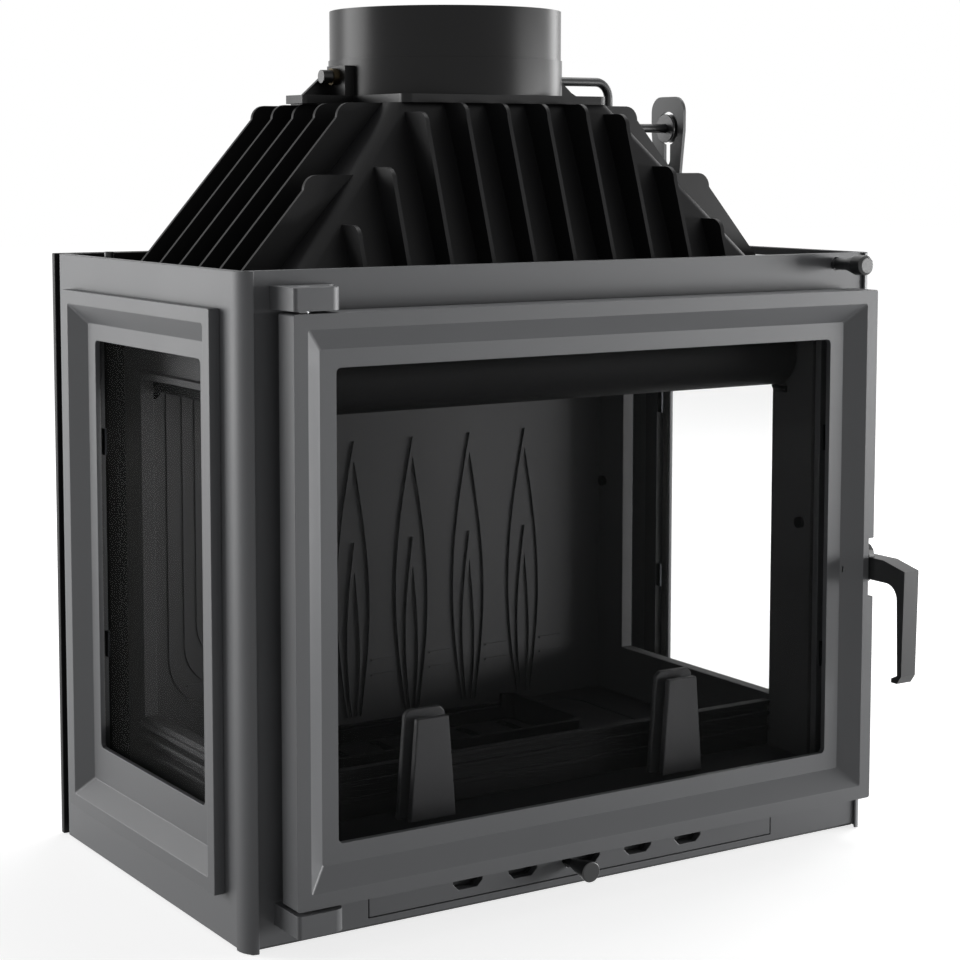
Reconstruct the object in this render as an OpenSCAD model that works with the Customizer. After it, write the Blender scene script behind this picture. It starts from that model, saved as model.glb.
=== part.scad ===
// Three-sided cast-iron fireplace insert with a front door, fixed side glasses, a ribbed hood,
// a flue collar with a damper, and an ash drawer with an air slide.
// Lengths are millimetres. X runs along the front, +Y to the rear, +Z up.
// Pieces are laid out from the front plate: y from its front face, z from its lower edge.
// The module at_plate moves them so that the origin is at the middle of the footprint, on the floor.

/* [Casing] */
// Overall width over the side castings
body_w = 609; // [600:1:660]
// Distance from the front plate's face to the rear face
body_d = 358; // [352:1:420]
// Height of the front plate
plate_h = 504; // [500:1:560]
// Thickness of the casing walls
wall = 6.5; // [5:0.5:8]
// How far the front posts stand in front of the front plate
post_proud = 3; // [2:0.5:6]
// How far the posts and the base reach below the front plate
post_drop = 4; // [3:0.5:6]
// Gap between the side castings' rear edge and the rear flange
rear_groove = 11; // [8:1:14]
// Thickness of the rear flange
rear_flange = 6; // [5:0.5:8]

/* [Door] */
// Distance from the side castings' outer face to the door's edge
door_in = 25.5; // [23.5:0.5:34.5]
// Height of the door's lower edge
door_z0 = 34.5; // [34.5:0.5:40]
// Distance from the front plate's upper edge down to the door's upper edge
door_top_in = 30; // [28:0.5:49]
// Thickness of the door frame
door_t = 28; // [26:1:30]
// Gap between the door and the front plate
door_gap = 8; // [7:0.5:9]
// Width of the flat outer band of the door frame
door_band = 11.5; // [9:0.5:14]
// Width of the door frame's inner slope
door_slope = 15.7; // [12:0.1:18]
// Depth of the door frame's inner slope
door_slope_d = 12.3; // [10:0.1:14]
// Width of the flat inner band of the door frame
door_inner = 14; // [12:0.5:18]
// Thickness of the door glass
glass_t = 4; // [3:0.5:5]

/* [Side windows] */
// Distance from the front plate's face to the window frame's front edge
win_y0 = 32; // [28:1:40]
// Distance from the rear face to the window frame's rear edge
win_rear_in = 43; // [38:1:68]
// Height of the window frame's lower edge
win_z0 = 34; // [30:1:40]
// Distance from the front plate's upper edge down to the window frame's upper edge
win_top_in = 28.4; // [24:0.1:44]
// How far the window frames stand out of the side castings
win_proud = 9; // [7:0.5:11]
// Width of the window frame's lower inner band
win_sill = 30; // [20:1:36]

/* [Hood and flue] */
// Outer radius of the flue collar
collar_r = 100; // [94:1:104]
// Wall thickness of the flue collar
collar_wall = 5; // [4:0.5:7]
// Height of the hood's top above the front plate's upper edge
hood_up = 126; // [116:1:146]
// Height of the flue collar with its flange
collar_h = 80; // [70:1:110]
// Distance from the flue collar to the side edges of the hood's top
hood_shoulder = 7; // [4:1:12]
// Distance from the side castings' outer face to the hood's lower edge
hood_side_in = 62.5; // [60.5:0.5:68.5]
// Number of ribs on the hood's front
front_ribs = 10; // [6:2:10]
// Thickness of the hood's ribs
rib_t = 3.5; // [3:0.5:5]

/* [Damper] */
// Length of the crank from the damper axle to its pin
crank_r = 41; // [38:0.5:43]
// Angle of the damper disc above the horizontal at rest
damper_tilt = 40; // [35:1:42]
// Diameter of the damper axle, its crank and its pin
axle_d = 8; // [7:0.5:9]
// Diameter of the pull rod
rod_d = 8; // [7:0.5:9]

/* [Firebox] */
// Distance from the side castings' outer face to the liners' inner face
liner_in = 58.5; // [54.5:0.5:62.5]
// Distance from the rear face to the fireback
fireback_in = 38; // [32:1:42]
// Height of the hearth plate's upper face
hearth_z = 64; // [62:1:66]
// Distance from the front plate's upper edge down to the deflector's lower face
deflector_drop = 116; // [110:1:124]
// Number of lancets on the fireback
lancets = 6; // [4:1:6]
// Number of slots in the grate tray
grate_slots = 6; // [4:1:6]

/* [Ash drawer] */
// Width of the drawer front
drawer_w = 397; // [380:1:400]
// Distance from the rear face to the drawer's rear edge
drawer_rear_in = 68; // [58:1:118]

/* [Hidden] */

// Fineness of round pieces, and the number of steps in a corner's arc
$fn = 64;
arc_steps = 6;
// Overrun of every cut
over = 1;
// Clearance of seated pieces, of running shafts and of sliding pieces
seat_gap = 0.3;
run_gap = 0.05;
slide_gap = 1;
// Corner radius of openings, and size of a bolt's head
corner_r = 4;
bolt_d = 10;
bolt_head = 4;

// Footprint and casing
half_w = body_w / 2;
plate_x = half_w - wall;
origin_y = 174;
side_y1 = body_d - rear_flange - rear_groove;
post_round_x = 11;
post_round_y = 17;
side_lift = 2;
rear_lip = 7;
groove_inset = 2;
base_t = 6;
base_top = base_t - post_drop;
top_plate_t = 6;
top_plate_drop = 34;
top_plate_z = plate_h - top_plate_drop;
stud_d = 8;
stud_proud = 4;
stud_side = 16;
stud_rear = 69;
casing_bolt_in = 16;
casing_bolt_shares = [0.12, 0.5, 0.88];

// Door frame, its glass and its seals
door_half = half_w - door_in;
door_z1 = plate_h - door_top_in;
door_face = door_gap + door_t;
door_edge_r = 2;
door_heel = 6;
door_sill = 1;
inner_t = 5;
door_open_x = door_half - door_band - door_slope - door_inner;
door_open_z0 = door_z0 + door_band + door_slope + door_inner + door_sill;
door_open_z1 = door_z1 - door_band - door_slope - door_inner;
glass_face = door_face - door_slope_d - inner_t;
glass_lap = 9;
glass_seal_t = 1;
glass_seal_w = 7;
glass_x = door_open_x + glass_lap;
glass_z0 = door_open_z0 - glass_lap;
glass_z1 = door_open_z1 + glass_lap;
rope_d = 10;
rope_in = 15;
rope_in_z = 12;
rope_bed = 3;
clip_l = 22;
clip_t = 2;
clip_lap = 6;

// Openings of the front plate
fire_lap = 6;
fire_lap_z = 4.5;
fire_x = door_half - rope_in - rope_d - fire_lap;
fire_z0 = door_z0 + rope_in_z + rope_d + fire_lap_z;
fire_z1 = door_z1 - rope_in_z - rope_d - fire_lap_z;
panel_z0 = 5.8;
panel_z1 = 33;
panel_gap = 0.7;

// Hinges
hinge_pin_d = 9;
hinge_in = 16;
hinge_deep = 13;
hinge_x = -door_half + hinge_in;
hinge_y = -door_gap - hinge_deep;
bracket_w = 40;
bracket_h = 17;
bracket_gap = 2;
bracket_proud = 3;
bracket_front = door_face + bracket_proud;
bracket_r = 9;
bracket_heel_r = 3;
bracket_web = 12;
bracket_web_r = 8;
pin_bite = 22;

// Handle, seen from the side: from its axis to the front, and up and down from the axis
handle_drop = 239;
handle_z = door_z1 - handle_drop;
handle_y = -22;
hub_d = 20;
hub_l = 16;
notch_w = 5.5;
notch_up = 26.5;
notch_down = 24;
hub_gap = 1;
hub_x0 = door_half - notch_w + hub_gap;
arm_reach = 57;
arm_flat = 31;
arm_up = 10;
arm_down = 9;
arm_drop = 6;
arm_r = 13;
grip_h = 97;
grip_t = 9;
grip_low_t = 5;
grip_lean = 2;
toe_reach = 7;
toe_h = 7;
handle_pin_d = 8;
handle_pin_l = 20;
cam_t = 6;
cam_gap = 0.6;
cam_ring_d = 28;
cam_top_d = 20;
cam_top_y = -3;
cam_top_z = 11;
nose_reach = 20;
nose_h = 9;
keeper_w = 8;
keeper_t = 7;
keeper_h = 8;

// Side windows: distances across run from the middle of the window
win_band = 11.5;
win_slope = 15.5;
win_slope_d = 12.2;
win_inner = 14;
win_tub = 7.5;
win_y1 = body_d - win_rear_in;
win_z1 = plate_h - win_top_in;
win_mid_y = (win_y0 + win_y1) / 2;
win_half = (win_y1 - win_y0) / 2;
win_open = win_half - win_band - win_slope - win_inner;
win_open_z0 = win_z0 + win_band + win_slope + win_sill;
win_open_z1 = win_z1 - win_band - win_slope - win_inner;
win_hole_in = 13;
side_glass_t = 4;
side_seal_t = 1;
retainer_t = 8;
retainer_gap = 1;
tub_x = half_w - win_tub;

// Firebox
liner_x = half_w - liner_in;
fireback_y = body_d - fireback_in;
deflector_z = plate_h - deflector_drop;
rail_y = 60;
rail_t = 6;
rail_h = 41;
rail_top = hearth_z + rail_h;
ridge_h = 4;
ridge_out = 3;
ridge_drops = [0, 10, 23];
liner_t = 6;
liner_lip = 12;
liner_y0 = 8.5;
liner_sill = 5;
liner_head = 12;
liner_open_y0 = 60.5;
liner_open_rear = 39;
liner_open_y1 = fireback_y - liner_open_rear;
liner_open_z0 = rail_top + liner_sill;
liner_open_z1 = deflector_z + liner_head;
liner_rim = 6;
liner_ridge = 2.5;
liner_bolt_drop = 118;
liner_bolt_z = deflector_z - liner_bolt_drop;
liner_bolt_front = 12;
liner_bolt_rear = 8;
firebox_top = top_plate_z - seat_gap;
fireback_t = 8;
hearth_t = 6;
support_gap = 6.5;
support_x = drawer_w / 2 + support_gap;
support_t = 6;

// Lancets and grooves of the fireback
lancet_pitch = 62.6;
lancet_tip_drop = 61;
lancet_tip_z = deflector_z - lancet_tip_drop;
lancet_foot_up = 6;
lancet_foot_z = hearth_z + lancet_foot_up;
lancet_half = 18.5;
lancet_rib = 2.6;
lancet_relief = 2;
lancet_steps = 14;
lancet_belly_share = 0.43;
lancet_foot_share = 0.4;
flame_half = 8;
flame_tip_drop = 155;
flame_tip_z = deflector_z - flame_tip_drop;
brick_h = 1.8;
brick_relief = 1.2;
brick_ups = [42, 56];
brick_half_share = 0.2;
frame_ins = [27, 42, 54];
frame_ups = [34, 52, 75];
frame_r = [48, 40, 34];
frame_w = 2;
frame_d = 1.5;

// Hearth plate and grate tray
tray_half = 138;
tray_l = 125;
tray_rear = 9;
tray_y1 = fireback_y - tray_rear;
tray_y0 = tray_y1 - tray_l;
tray_down = 19;
tray_up = 10.5;
tray_rear_down = 2;
tray_z0 = hearth_z - tray_down;
tray_rim = hearth_z + tray_up;
tray_rear_rim = hearth_z - tray_rear_down;
tray_t = 5;
tray_r = 15;
ledge_w = 11;
ledge_t = 5;
slot_pitch = 46.6;
grate_slot_w = 10;
grate_slot_l = 50;
grate_slot_rear = 13;
outline_in = 48;
outline_x = liner_x - outline_in;
outline_rear = 22;
outline_y = fireback_y - outline_rear;
outline_r = 25;
outline_w = 1.6;
outline_d = 1.5;

// Log retainers
log_x = 124;
log_y = 27;
log_h = 82;
log_top = hearth_z + log_h;
log_top_w = 29;
log_base_w = 42;
log_blade = 6;
log_gap = 7;
log_rear = 5;
log_rear_up = 5;
log_rear_top = log_top + log_rear_up;
log_rear_more = 4;
log_web_w = 22;
log_web_down = 26;
log_web_top = log_top - log_web_down;

// Deflector
nose_r = 28;
nose_y = 53;
nose_t = 8;
lip_y = 62;
deflector_rear = 20;
deflector_side = 3;
deflector_x = liner_x - deflector_side;
deflector_y1 = fireback_y - deflector_rear;
rest_leg = 6;
rest_t = 4;
rest_l = 14;
rest_front = 6;

// Hood
hood_wall = 5;
hood_z0 = top_plate_z + top_plate_t;
hood_z1 = plate_h + hood_up;
flue_in = 148.4;
flue_y = body_d - flue_in;
hood_top_x = collar_r + hood_shoulder;
hood_base_x = half_w - hood_side_in;
hood_front = 96.6;
hood_rear = 97.4;
hood_top_y0 = flue_y - hood_front;
hood_top_y1 = flue_y + hood_rear;
hood_base_y0 = 51;
hood_rear_in = 1.5;
hood_base_y1 = side_y1 - hood_rear_in;
hood_r = 12;
foot_w = 27;
foot_t = 5;
hood_hole_in = 9;
hood_hole_r = collar_r - hood_hole_in;
rib_round = 12;
front_rib_pitch = 39.3;
front_rib_low = 20;
front_rib_high = 30;
front_rib_drops = [seat_gap, seat_gap, 8, 52, 96.5];
side_rib_pitch = 37.6;
side_rib_reach = 32;
side_rib_drop = 58;
side_front_steps = 3;
side_rear_steps = 2;

// Flue collar
flange_t = 7;
collar_step = 1;
collar_step_h = 31;
flange_half = collar_r + collar_step;
flange_r = 8;
collar_z0 = hood_z1 + flange_t;
collar_z1 = hood_z1 + collar_h;
lug_out = 8;
lug_w = 31;
lug_h = 25;
ear_out = 48;
ear_w = 34;
gusset_t = 4;
gusset_toe = 14;
gusset_step = 13;
gusset_h = 20;
bush_d = 14;
bush_out = 5;
stub_d = 11;
stub_l = 9;

// Damper
axle_up = 16;
axle_z = collar_z0 + axle_up;
disc_gap = 7;
disc_r = collar_r - collar_wall - disc_gap;
disc_t = 3;
boss_d = 14;
boss_half = 70;
crank_out = 74;
crank_x = collar_r + crank_out;
crank_bend = 14;
pin_z = axle_z - crank_r;
pin_over = 5.5;
washer_d = 26;
washer_t = 2;
link_in = 0.5;
link_x = hood_base_x - link_in;
link_t = 3;
pin_end = link_x + link_t + slide_gap + washer_t + pin_over;
eye_d = 31;
head_w = 48;
head_up = 29;
head_low = 2;
head_r = 14;
neck_w = 38;
link_foot_w = 42;
slit_w = 9;
slit_l = 29;
neck_drop = 40;
jog_drop = 77;
jog_h = 24;
rod_out = 21.5;
rod_drop = 9;
rod_x = hood_base_x + rod_out;
rod_z = plate_h - rod_drop;
rod_over = 90.4;
rod_rear = flue_y + rod_over;
rod_tip = 2;
knob_l = 37;
knob_d0 = 10;
knob_d1 = 17;
knob_round = 2;
guide_w = 13;
guide_t = 8;
guide_y = flue_y + 1.5 * side_rib_pitch - guide_t / 2;
rod_hole_gap = 1.5;

// Drawer and air slide: the slots by their middles and their half widths
slot_at = [-109, -57, 0, 57, 109];
slot_half = [13.5, 13.5, 18.4, 13.5, 13.5];
slot_z0 = 13;
slot_h = 11;
slot_cut = 5;
air_x = -11;
air_z = 17;
stem_d = 6;
stem_l = 5;
air_knob_d = 17.5;
air_knob_d0 = 8;
air_knob_l = 25;
air_knob_edge = 1;
air_slide_t = 3;
air_travel = 22;
pan_in = 12;
pan_t = 3;
pan_z1 = 31;
pan_arm = 10;
runner_h = panel_z0 - base_top - seat_gap;
runner_w = 12;
runner_in = 20;
pan_half = drawer_w / 2 - pan_in;
drawer_y1 = body_d - drawer_rear_in;

// A box between two corners
module span(x0, x1, y0, y1, z0, z1) {
    translate([x0, y0, z0]) cube([x1 - x0, y1 - y0, z1 - z0]);
}

// Round bars along X, Y and Z
module bar_x(d, x0, x1, y, z) {
    translate([x0, y, z]) rotate([0, 90, 0]) cylinder(d = d, h = x1 - x0);
}

module bar_y(d, x, y0, y1, z) {
    translate([x, y0, z]) rotate([-90, 0, 0]) cylinder(d = d, h = y1 - y0);
}

module bar_z(d, x, y, z0, z1) {
    translate([x, y, z0]) cylinder(d = d, h = z1 - z0);
}

// Plates cut from an outline: flat on XY, on XZ from y0 to y1, and on YZ from x0 to x1
module slab(points, z0, z1) {
    translate([0, 0, z0]) linear_extrude(z1 - z0) polygon(points);
}

module plate_xz(points, y0, y1) {
    translate([0, y1, 0]) rotate([90, 0, 0]) linear_extrude(y1 - y0) polygon(points);
}

module plate_yz(points, x0, x1) {
    translate([x0, 0, 0]) rotate([90, 0, 90]) linear_extrude(x1 - x0) polygon(points);
}

// Points of an arc, and of a rectangle with round corners
function arc(cx, cy, r, a0, a1, steps = arc_steps) =
    [for (i = [0 : steps]) let (a = a0 + (a1 - a0) * i / steps) [cx + r * cos(a), cy + r * sin(a)]];

function round_rect(x0, x1, y0, y1, r) = concat(
    arc(x1 - r, y1 - r, r, 0, 90), arc(x0 + r, y1 - r, r, 90, 180),
    arc(x0 + r, y0 + r, r, 180, 270), arc(x1 - r, y0 + r, r, 270, 360));

function between(a, b, share) = a + (b - a) * share;

// A straight-sided loft between two outlines with the same number of points
module loft(low, z0, high, z1) {
    n = len(low);
    polyhedron(
        points = concat([for (p = low) [p[0], p[1], z0]], [for (p = high) [p[0], p[1], z1]]),
        faces = concat([[for (i = [n - 1 : -1 : 0]) n + i]], [[for (i = [0 : n - 1]) i]],
            [for (i = [0 : n - 1]) let (j = (i + 1) % n) [i, n + i, n + j, j]]));
}

module at_plate() {
    translate([0, -origin_y, post_drop]) children();
}

module mirror_pair() {
    children();
    mirror([1, 0, 0]) children();
}

// Places a frame drawn in a plane, u across and v up, with its front at zero and its back below
module facing_front(y) {
    translate([0, y, 0]) rotate([90, 0, 0]) children();
}

module facing_right(x) {
    translate([x, win_mid_y, 0]) rotate([90, 0, 90]) children();
}

// A flat ring, rim wide, from its front at zero backwards
module ring_plate(u, v0, v1, rim, thick) {
    difference() {
        slab(round_rect(-u, u, v0, v1, corner_r), -thick, 0);
        slab(round_rect(-u + rim, u - rim, v0 + rim, v1 - rim, corner_r), -thick - over, over);
    }
}

// The slope that a trim frame's face has inside its outer band
module trim_slope(half_u, v0, v1, band, slope, depth) {
    outer = band - slope * over / depth;
    inner = band + slope;
    loft(round_rect(-half_u + inner, half_u - inner, v0 + inner, v1 - inner, door_edge_r), -depth,
        round_rect(-half_u + outer, half_u - outer, v0 + outer, v1 - outer, door_edge_r), over);
}

// Casing

module base_plate() {
    color("#2b2c2d") at_plate()
        span(-plate_x + seat_gap, plate_x - seat_gap, wall + seat_gap, side_y1 - seat_gap,
            -post_drop, base_top);
}

module front_plate() {
    panel_x = drawer_w / 2 + panel_gap;
    color("#4a4b4d") at_plate() difference() {
        span(-plate_x + seat_gap, plate_x - seat_gap, 0, wall, 0, plate_h);
        facing_front(0) slab(round_rect(-fire_x, fire_x, fire_z0, fire_z1, corner_r), -wall - over, over);
        span(-panel_x, panel_x, -over, wall + over, panel_z0 - panel_gap, panel_z1 + panel_gap);
        bar_y(rod_d + 2 * rod_hole_gap, rod_x, -over, wall + over, rod_z);
    }
}

// A side casting seen from above: its rounded post laps over the front plate's edge
function side_outline() = concat([[plate_x, side_y1], [plate_x, -seat_gap],
    [half_w - post_round_x, -seat_gap]],
    [for (i = [0 : arc_steps]) let (a = 90 * i / arc_steps)
        [half_w - post_round_x * (1 - sin(a)), -post_proud + post_round_y * (1 - cos(a))]],
    [[half_w, side_y1]]);

module side_casting() {
    hole = win_half - win_hole_in;
    difference() {
        slab(side_outline(), -post_drop, plate_h);
        span(plate_x - over, half_w + over, post_round_y - post_proud, side_y1 + over,
            -post_drop - over, side_lift - post_drop);
        facing_right(half_w) slab(round_rect(-hole, hole, win_z0 + win_hole_in, win_z1 - win_hole_in,
            corner_r), -wall - over, over);
    }
    span(plate_x - rear_lip, plate_x + over, side_y1 - rear_lip, side_y1, base_top + seat_gap, firebox_top);
}

module right_side() {
    color("#7c7d7f") at_plate() side_casting();
}

module left_side() {
    color("#7c7d7f") at_plate() mirror([1, 0, 0]) side_casting();
}

module back_plate() {
    inner = plate_x - groove_inset;
    color("#3a3b3c") at_plate() union() {
        span(-half_w, half_w, body_d - rear_flange, body_d, -post_drop, plate_h);
        span(-inner, inner, side_y1 + seat_gap, body_d - rear_flange, -post_drop, plate_h);
    }
}

module top_plate() {
    inner = foot_w / 2;
    color("#303132") at_plate() difference() {
        span(-plate_x + seat_gap, plate_x - seat_gap, wall + seat_gap, side_y1, top_plate_z, hood_z0);
        slab(round_rect(-hood_base_x + inner, hood_base_x - inner, hood_base_y0 + inner,
            hood_base_y1 - inner, hood_r), top_plate_z - over, hood_z0 + over);
    }
}

module lifting_studs() {
    color("#232425") at_plate() mirror_pair()
        bar_z(stud_d, half_w - stud_side, side_y1 - stud_rear, hood_z0, plate_h + stud_proud);
}

module casing_bolts() {
    color("#232425") at_plate() mirror_pair() for (share = casing_bolt_shares)
        bar_y(bolt_d, half_w - casing_bolt_in, body_d, body_d + bolt_head, plate_h * share);
}

// Hood

function hood_share(z) = (z - hood_z0) / (hood_z1 - hood_z0);

module hood_body(inset, z0, z1) {
    loft(round_rect(-hood_base_x + inset, hood_base_x - inset, hood_base_y0 + inset,
            hood_base_y1 - inset, hood_r - inset), z0,
        round_rect(-hood_top_x + inset, hood_top_x - inset, hood_top_y0 + inset,
            hood_top_y1 - inset, hood_r - inset), z1);
}

// A rib's outline: its root in the hood's wall, its outer edge, and a round outer top corner
function rib_points(root_low, root_high, out_low, out_high, turn, top) =
    let (bend = top - rib_round, out = between(out_low, out_high, hood_share(bend)))
    concat([[root_low, hood_z0], [out_low, hood_z0]],
        [for (i = [0 : arc_steps]) let (a = 90 * i / arc_steps)
            [out + turn * rib_round * (1 - cos(a)), bend + rib_round * sin(a)]],
        [[between(root_low, root_high, hood_share(top)), top]]);

module front_rib(top) {
    bury = hood_wall / 2;
    plate_yz(rib_points(hood_base_y0 + bury, hood_top_y0 + bury, hood_base_y0 - front_rib_low,
        hood_top_y0 - front_rib_high, 1, top), -rib_t / 2, rib_t / 2);
}

module side_rib(top) {
    bury = hood_wall / 2;
    plate_xz(rib_points(hood_base_x - bury, hood_top_x - bury, hood_base_x + side_rib_reach,
        hood_top_x + side_rib_reach, -1, top), -rib_t / 2, rib_t / 2);
}

module hood() {
    color("#3c3d3f") at_plate() {
        difference() {
            union() {
                hood_body(0, hood_z0, hood_z1);
                slab(round_rect(-hood_base_x - foot_w, hood_base_x + foot_w, hood_base_y0 - foot_w,
                    hood_base_y1, hood_r), hood_z0, hood_z0 + foot_t);
            }
            hood_body(hood_wall, hood_z0 - over, hood_z1 - hood_wall);
            bar_z(2 * hood_hole_r, 0, flue_y, hood_z1 - 2 * hood_wall, hood_z1 + over);
        }
        for (i = [0 : front_ribs / 2 - 1]) mirror_pair()
            translate([(i + 0.5) * front_rib_pitch, 0, 0]) front_rib(hood_z1 - front_rib_drops[i]);
        for (k = [-side_front_steps : side_rear_steps]) mirror_pair()
            translate([0, flue_y + k * side_rib_pitch, 0])
                side_rib(hood_z1 - (k == -side_front_steps ? side_rib_drop : seat_gap));
    }
}

module hood_bolts() {
    z = hood_z0 + foot_t;
    x = hood_base_x + foot_w / 2;
    first = flue_y - (side_front_steps + 0.5) * side_rib_pitch;
    last = flue_y + (side_rear_steps + 0.5) * side_rib_pitch;
    color("#232425") at_plate() mirror_pair() for (y = [first, last]) bar_z(bolt_d, x, y, z, z + bolt_head);
}

// Flue collar with flange, bearing lugs, ears and gussets

module gusset(root, toe, y) {
    z = collar_z0;
    plate_xz([[root, z - over], [toe, z - over], [toe, z], [root + gusset_t, z + gusset_h],
        [root, z + gusset_h]], y - gusset_t / 2, y + gusset_t / 2);
}

module flue_collar() {
    bore = collar_r - collar_wall;
    lug_x = collar_r + lug_out;
    ear_x = collar_r + ear_out;
    rear = flue_y + lug_w / 2;
    bush_end = lug_x + bush_out + over;
    color("#2e2f31") at_plate() difference() {
        union() {
            slab(round_rect(-flange_half, flange_half, flue_y - flange_half, flue_y + flange_half,
                flange_r), hood_z1, collar_z0);
            slab(round_rect(-ear_x, ear_x, flue_y - ear_w / 2, flue_y + ear_w / 2, corner_r), hood_z1,
                collar_z0);
            bar_z(2 * flange_half, 0, flue_y, hood_z1, collar_z0 + collar_step_h);
            bar_z(2 * collar_r, 0, flue_y, hood_z1, collar_z1);
            span(-lug_x, lug_x, rear - lug_w, rear, hood_z1, collar_z0 + lug_h);
            gusset(lug_x - over, ear_x - gusset_toe, flue_y - gusset_step / 2);
            gusset(lug_x - over, ear_x, flue_y + gusset_step / 2);
            mirror([1, 0, 0]) gusset(lug_x - over, ear_x - gusset_toe, rear - gusset_t / 2);
        }
        bar_z(2 * bore, 0, flue_y, collar_z0, collar_z1 + over);
        bar_z(2 * hood_hole_r, 0, flue_y, hood_z1 - over, collar_z1);
        bar_x(bush_d, -bush_end, bush_end, flue_y, axle_z);
    }
}

// Damper

module damper_disc() {
    color("#3a3b3c") at_plate() translate([0, flue_y, axle_z]) difference() {
        union() {
            rotate([damper_tilt, 0, 0]) translate([0, 0, -disc_t / 2]) cylinder(r = disc_r, h = disc_t);
            bar_x(boss_d, -boss_half, boss_half, 0, 0);
        }
        bar_x(axle_d, -disc_r, disc_r, 0, 0);
    }
}

// A quarter bend of round bar in the XZ plane, from one angle on
module bend(angle) {
    rotate([90, 0, 0]) rotate([0, 0, angle]) rotate_extrude(angle = 90)
        translate([crank_bend, 0]) circle(d = axle_d);
}

// The axle runs to the right, bends down into the crank, and bends out again into the pin
module damper_axle() {
    reach = crank_x - crank_bend;
    low = -crank_r + crank_bend;
    stub_x = collar_r + lug_out + bush_out + seat_gap;
    color("#1f2021") at_plate() translate([0, flue_y, axle_z]) union() {
        bar_x(axle_d, -stub_x, reach, 0, 0);
        bar_x(stub_d, -stub_x - stub_l, -stub_x, 0, 0);
        translate([reach, 0, -crank_bend]) bend(0);
        bar_z(axle_d, crank_x, 0, low, -crank_bend);
        translate([crank_x + crank_bend, 0, low]) bend(180);
        bar_x(axle_d, crank_x + crank_bend, pin_end, 0, -crank_r);
    }
}

module damper_bushes() {
    x0 = collar_r - collar_wall;
    x1 = collar_r + lug_out + bush_out;
    color("#8a8578") at_plate() mirror_pair() difference() {
        bar_x(bush_d, x0, x1, flue_y, axle_z);
        bar_x(axle_d + 2 * run_gap, x0 - over, x1 + over, flue_y, axle_z);
    }
}

module crank_washers() {
    near = link_x - slide_gap - washer_t;
    far = link_x + link_t + slide_gap;
    color("#232425") at_plate() for (x = [near, far]) difference() {
        bar_x(washer_d, x, x + washer_t, flue_y, pin_z);
        bar_x(axle_d, x - over, x + washer_t + over, flue_y, pin_z);
    }
}

// A flat plate with an eye and a slit, and a jog out to the rod below it
module link_plate() {
    half_neck = neck_w / 2;
    bend = head_w / 2 - head_r;
    top = pin_z + head_up - head_r;
    half_foot = link_foot_w / 2;
    jog_z = pin_z - jog_drop;
    low_x = rod_x - link_t / 2;
    color("#6d6e70") at_plate() translate([0, flue_y, 0]) difference() {
        union() {
            plate_yz(concat([[half_foot, jog_z], [half_neck, pin_z - neck_drop]],
                [[head_w / 2, pin_z - head_low]], arc(bend, top, head_r, 0, 90),
                arc(-bend, top, head_r, 90, 180), [[-head_w / 2, pin_z - head_low]],
                [[-half_neck, pin_z - neck_drop], [-half_foot, jog_z]]), link_x, link_x + link_t);
            plate_xz([[link_x, jog_z + over], [link_x, jog_z], [low_x, jog_z - jog_h], [low_x, rod_z],
                [low_x + link_t, rod_z], [low_x + link_t, jog_z - jog_h + over],
                [link_x + link_t, jog_z + over]], -half_foot, half_foot);
        }
        bar_x(eye_d, link_x - over, link_x + link_t + over, 0, pin_z);
        span(link_x - over, link_x + link_t + over, -slit_w / 2, slit_w / 2, pin_z - slit_l, pin_z);
        bar_x(slit_w, link_x - over, link_x + link_t + over, 0, pin_z - slit_l);
        bar_y(rod_d, rod_x, -half_foot - over, half_foot + over, rod_z);
    }
}

module pull_rod() {
    color("#8c8d8f") at_plate() bar_y(rod_d, rod_x, -rod_tip, rod_rear, rod_z);
}

module damper_knob() {
    r0 = knob_d0 / 2;
    r1 = knob_d1 / 2;
    color("#18191a") at_plate() translate([rod_x, -rod_tip, rod_z]) rotate([90, 0, 0])
        rotate_extrude() polygon([[0, 0], [r0, 0], [r0, knob_l / 3], [r1, knob_l * 2 / 3],
            [r1, knob_l - knob_round], [r1 - knob_round, knob_l], [0, knob_l]]);
}

module rod_guide() {
    half = guide_w / 2;
    color("#3a3b3c") at_plate() difference() {
        span(rod_x - half, rod_x + half, guide_y, guide_y + guide_t, hood_z0 + foot_t, rod_z + half);
        bar_y(rod_d + 2 * run_gap, rod_x, guide_y - over, guide_y + guide_t + over, rod_z);
    }
}

// Firebox

module hearth_supports() {
    low = hearth_z - hearth_t;
    rear = fireback_y + fireback_t;
    color("#1c1c1d") at_plate() mirror_pair() union() {
        span(support_x, support_x + support_t, liner_y0, rear, base_top, low);
        span(support_x, liner_x + liner_t, liner_y0, rear, low - support_t, low);
    }
}

// Half width of a lancet at a share t of its height, from its foot to its tip
function lancet_side(half, t) = t < lancet_belly_share
    ? half * (lancet_foot_share + (1 - lancet_foot_share) * sin(90 * t / lancet_belly_share))
    : half * cos(90 * (t - lancet_belly_share) / (1 - lancet_belly_share));

function lancet_points(half, z0, z1) = concat(
    [for (i = [0 : lancet_steps]) let (t = i / lancet_steps) [lancet_side(half, t), between(z0, z1, t)]],
    [for (i = [lancet_steps - 1 : -1 : 0]) let (t = i / lancet_steps)
        [-lancet_side(half, t), between(z0, z1, t)]]);

module lancet(half, z0, z1) {
    tip = z1 - lancet_rib * (z1 - z0) / half / 2;
    facing_front(fireback_y - lancet_relief) difference() {
        slab(lancet_points(half, z0, z1), -lancet_relief - over, 0);
        slab(lancet_points(half - lancet_rib, z0 - over, tip), -lancet_relief - 2 * over, over);
    }
}

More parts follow.
